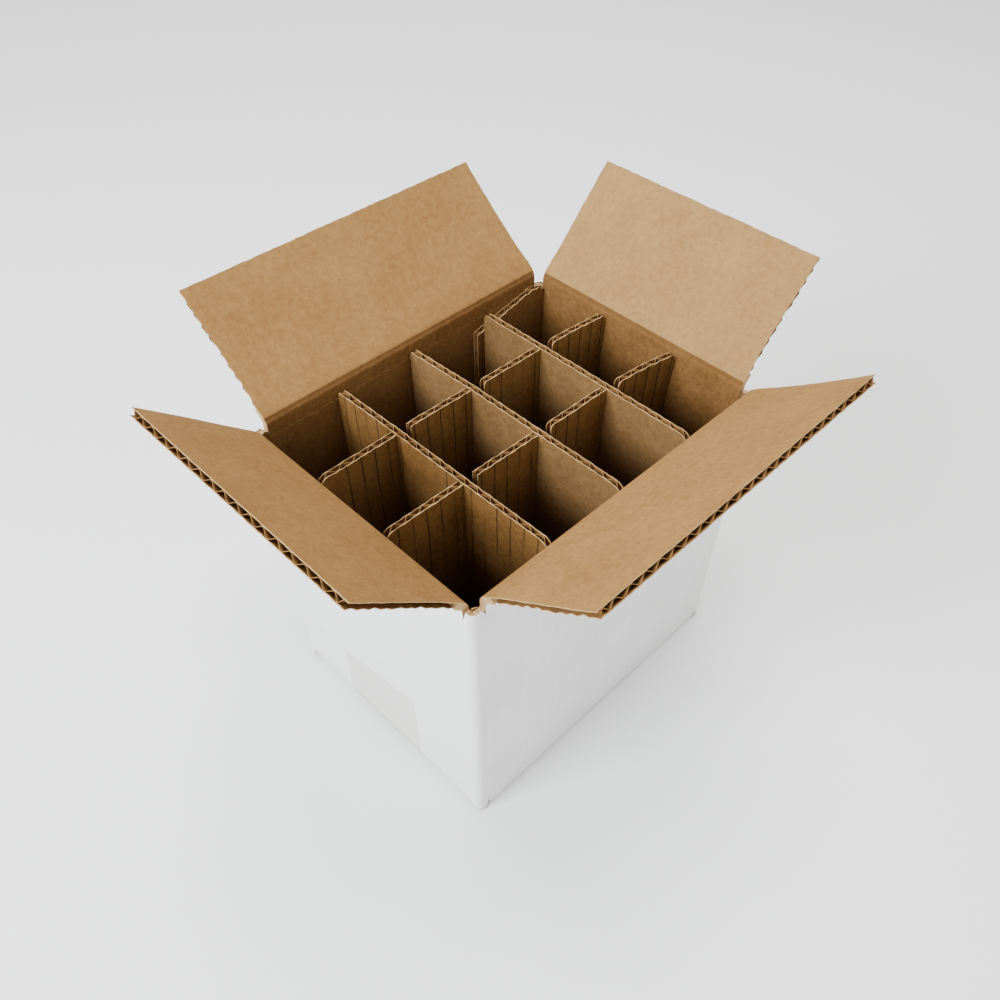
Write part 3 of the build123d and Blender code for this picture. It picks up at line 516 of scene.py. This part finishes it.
# ------------------------------------------------------------------ dividers
X_SHORT = (-37.8, 0.0, 38.6); Y_LONG = (-14.0, 22.2)
Z0, Z1 = 6.2, 141.45
ZM = (Z0 + Z1) / 2
for j, (nm, y0) in enumerate((("divider_long_front", Y_LONG[0]), ("divider_long_back", Y_LONG[1]))):
    slots = [(x - 1.4 - 0.15, x - 1.55 + 7.0) for x in X_SHORT]
    def bow(X, j=j):
        return np.interp(X, [-75, -38, 0, 38.6, 60, 75], [0.9, 0.6, 0.0, -0.3, -2.6, -5.4] if j == 0 else [0.7, 0.8, 0.2, -0.4, -1.8, -3.2])
    def FD(C, D, N, y0=y0, j=j):
        return np.stack([C, y0 + N + bow(C) * np.clip((D - 60) / 80, 0, 1), D], -1)
    def dtop(C, slots=slots, j=j):
        z = Z1 + 0 * C
        ends = [(-74.6, 1, 3.2), (74.6, -1, 2.2)]
        for lo, hi in slots: ends += [(lo, -1, 0.7), (hi, 1, 1.8 if hi > 40 else 1.3)]
        for e, s, r in ends:
            t = np.clip(1 - s * (C - e) / r, 0, 1)
            near = (s * (C - e) >= -0.01) & (s * (C - e) < r)
            z = np.where(near, Z1 - (r - np.sqrt(np.clip(r * r - (t * r) ** 2, 0, None))), z)
        return z
    cuts = [q for s in slots for q in s]
    mask = lambda cm, dm, slots=slots: ~np.any([(cm > lo) & (cm < hi) & (dm > ZM - 0.6) for lo, hi in slots], axis=0)
    B = Build()
    board(B, FD, -74.6, 74.6, Z0, Z1, iDX, iD, seed=81 + j, dtop=dtop, rag_lo=0.22, rag_hi=0.22, cuts=cuts, mask=mask, dstep=3.0, phase=1.6, wash=0.09)
    finish_piece(B.make(nm + "_board"), "root", nm, slot="brown_board")
for j, (nm, x0) in enumerate((("divider_short_left", X_SHORT[0]), ("divider_short_middle", X_SHORT[1]), ("divider_short_right", X_SHORT[2]))):
    y_lo, y_hi = -55.7, (53.9 if j == 2 else 56.7)
    slots = [(y - 1.55, y - 1.55 + 7.0) for y in Y_LONG]
    def FS(C, D, N, x0=x0, j=j):
        b = np.interp(C, [-56, -14, 22, 57], [(0.3, 0.0, 0.0, -0.5), (0, 0, 0, -1.2), (0, 0, 0, -0.2)][j])
        return np.stack([x0 + N + b * np.clip((D - 60) / 80, 0, 1), C, D], -1)
    def dtop(C, y_lo=y_lo, y_hi=y_hi):
        z = Z1 + 0 * C
        for e, s, r in ((y_lo, 1, 4.0), (y_hi, -1, 1.6)):
            t = np.clip(1 - s * (C - e) / r, 0, 1)
            near = (s * (C - e) >= -0.01) & (s * (C - e) < r)
            z = np.where(near, Z1 - (r - np.sqrt(np.clip(r * r - (t * r) ** 2, 0, None))), z)
        return z
    cuts = [q for s in slots for q in s]
    mask = lambda cm, dm, slots=slots: ~np.any([(cm > lo) & (cm < hi) & (dm < ZM + 0.6) for lo, hi in slots], axis=0)
    B = Build()
    board(B, FS, y_lo, y_hi, Z0, Z1, iDY if j == 0 else iD, iD, seed=91 + j, dtop=dtop, rag_lo=0.18, rag_hi=0.18, cuts=cuts, mask=mask, dstep=3.0, phase=0.8, wash=0.07 if j == 0 else 0.03)
    finish_piece(B.make(nm + "_board"), "root", nm, slot="brown_board")

# ------------------------------------------------------------------ tape
B = Build()
pathx = [(-78.05, 48.0), (-78.05, 3.1), (-74.9, -0.03), (74.9, -0.03), (78.05, 3.1), (78.05, 45.0)]
def FTp(C, D, N):
    """C across the tape, D along it (arc length from the -X panel's cut end)."""
    seg = [np.hypot(pathx[i + 1][0] - pathx[i][0], pathx[i + 1][1] - pathx[i][1]) for i in range(5)]
    cum = np.concatenate([[0], np.cumsum(seg)])
    x = np.interp(D, cum, [p[0] for p in pathx]); z = np.interp(D, cum, [p[1] for p in pathx])
    nx = np.where(D < cum[1], -1.0, np.where(D > cum[4], 1.0, 0.0)); nz = np.where((D > cum[2]) & (D < cum[3]), -1.0, 0.0)
    cut0 = np.interp(C, [-22, 26], [47.4, 37.1]); cut1 = np.interp(C, [-22, 26], [40.9, 44.4])
    z = np.where(D < cum[1], np.minimum(z, cut0), np.where(D > cum[4], np.minimum(z, cut1), z))
    lift = 0.02 * np.sin(C * 1.1 + z * 0.35) * ((D < cum[1]) | (D > cum[4]))
    return np.stack([x + nx * (N + lift * 0.5 - 0.01), C, z + nz * N * 0.9], -1)
segs = np.unique(np.concatenate([np.linspace(0, 44.9, 40), [44.9, 49.35], np.linspace(49.35, 199.15, 30), np.linspace(199.15, 203.6, 3), np.linspace(203.6, 245.4, 30)]).round(3))
B.sheet(FTp, np.linspace(-21.95, 25.95, 40), segs, lambda C, D: 0 * C, lambda C, D: 0 * C + 0.07, (iW, iW, iW))
tp = B.make("packing_tape")
tp.data.materials.clear(); tp.data.materials.append(TAPE)
tp.data.polygons.foreach_set("material_index", np.zeros(len(tp.data.polygons), np.int32))
finish_piece(tp, "root", "bottom_tape", slot="clear_tape")

# ------------------------------------------------------------------ stage
bpy.ops.mesh.primitive_plane_add(size=6, location=(0, 0, -0.0003))
floor = bpy.context.object; floor.name = "floor"
fm, fnt, fb = new_mat("floor_pale")
fb.inputs["Base Color"].default_value = (0.98, 0.98, 0.98, 1); fb.inputs["Roughness"].default_value = 0.9
fb.inputs["Specular IOR Level"].default_value = 0.0
floor.data.materials.append(fm)

def area(name, loc, target, size, energy, color=(1, 1, 1)):
    ld = bpy.data.lights.new(name, "AREA"); ld.shape = "DISK"; ld.size = size; ld.energy = energy; ld.color = color
    ob = bpy.data.objects.new(name, ld); bpy.context.scene.collection.objects.link(ob)
    ob.location = loc; ob.rotation_euler = (Vector(target) - Vector(loc)).to_track_quat("-Z", "Y").to_euler()
area("key", (-1.0, 0.15, 0.8), (0, 0, 0.1), 0.6, 24.0, (0.93, 0.97, 1.0))
area("over", (0.25, 0.15, 1.3), (0, 0, 0.1), 0.7, 15.0, (1.0, 0.99, 0.96))
world = bpy.data.worlds.new("world"); bpy.context.scene.world = world; world.use_nodes = True
world.node_tree.nodes["Background"].inputs["Color"].default_value = (1, 1, 1, 1)
world.node_tree.nodes["Background"].inputs["Strength"].default_value = 0.95
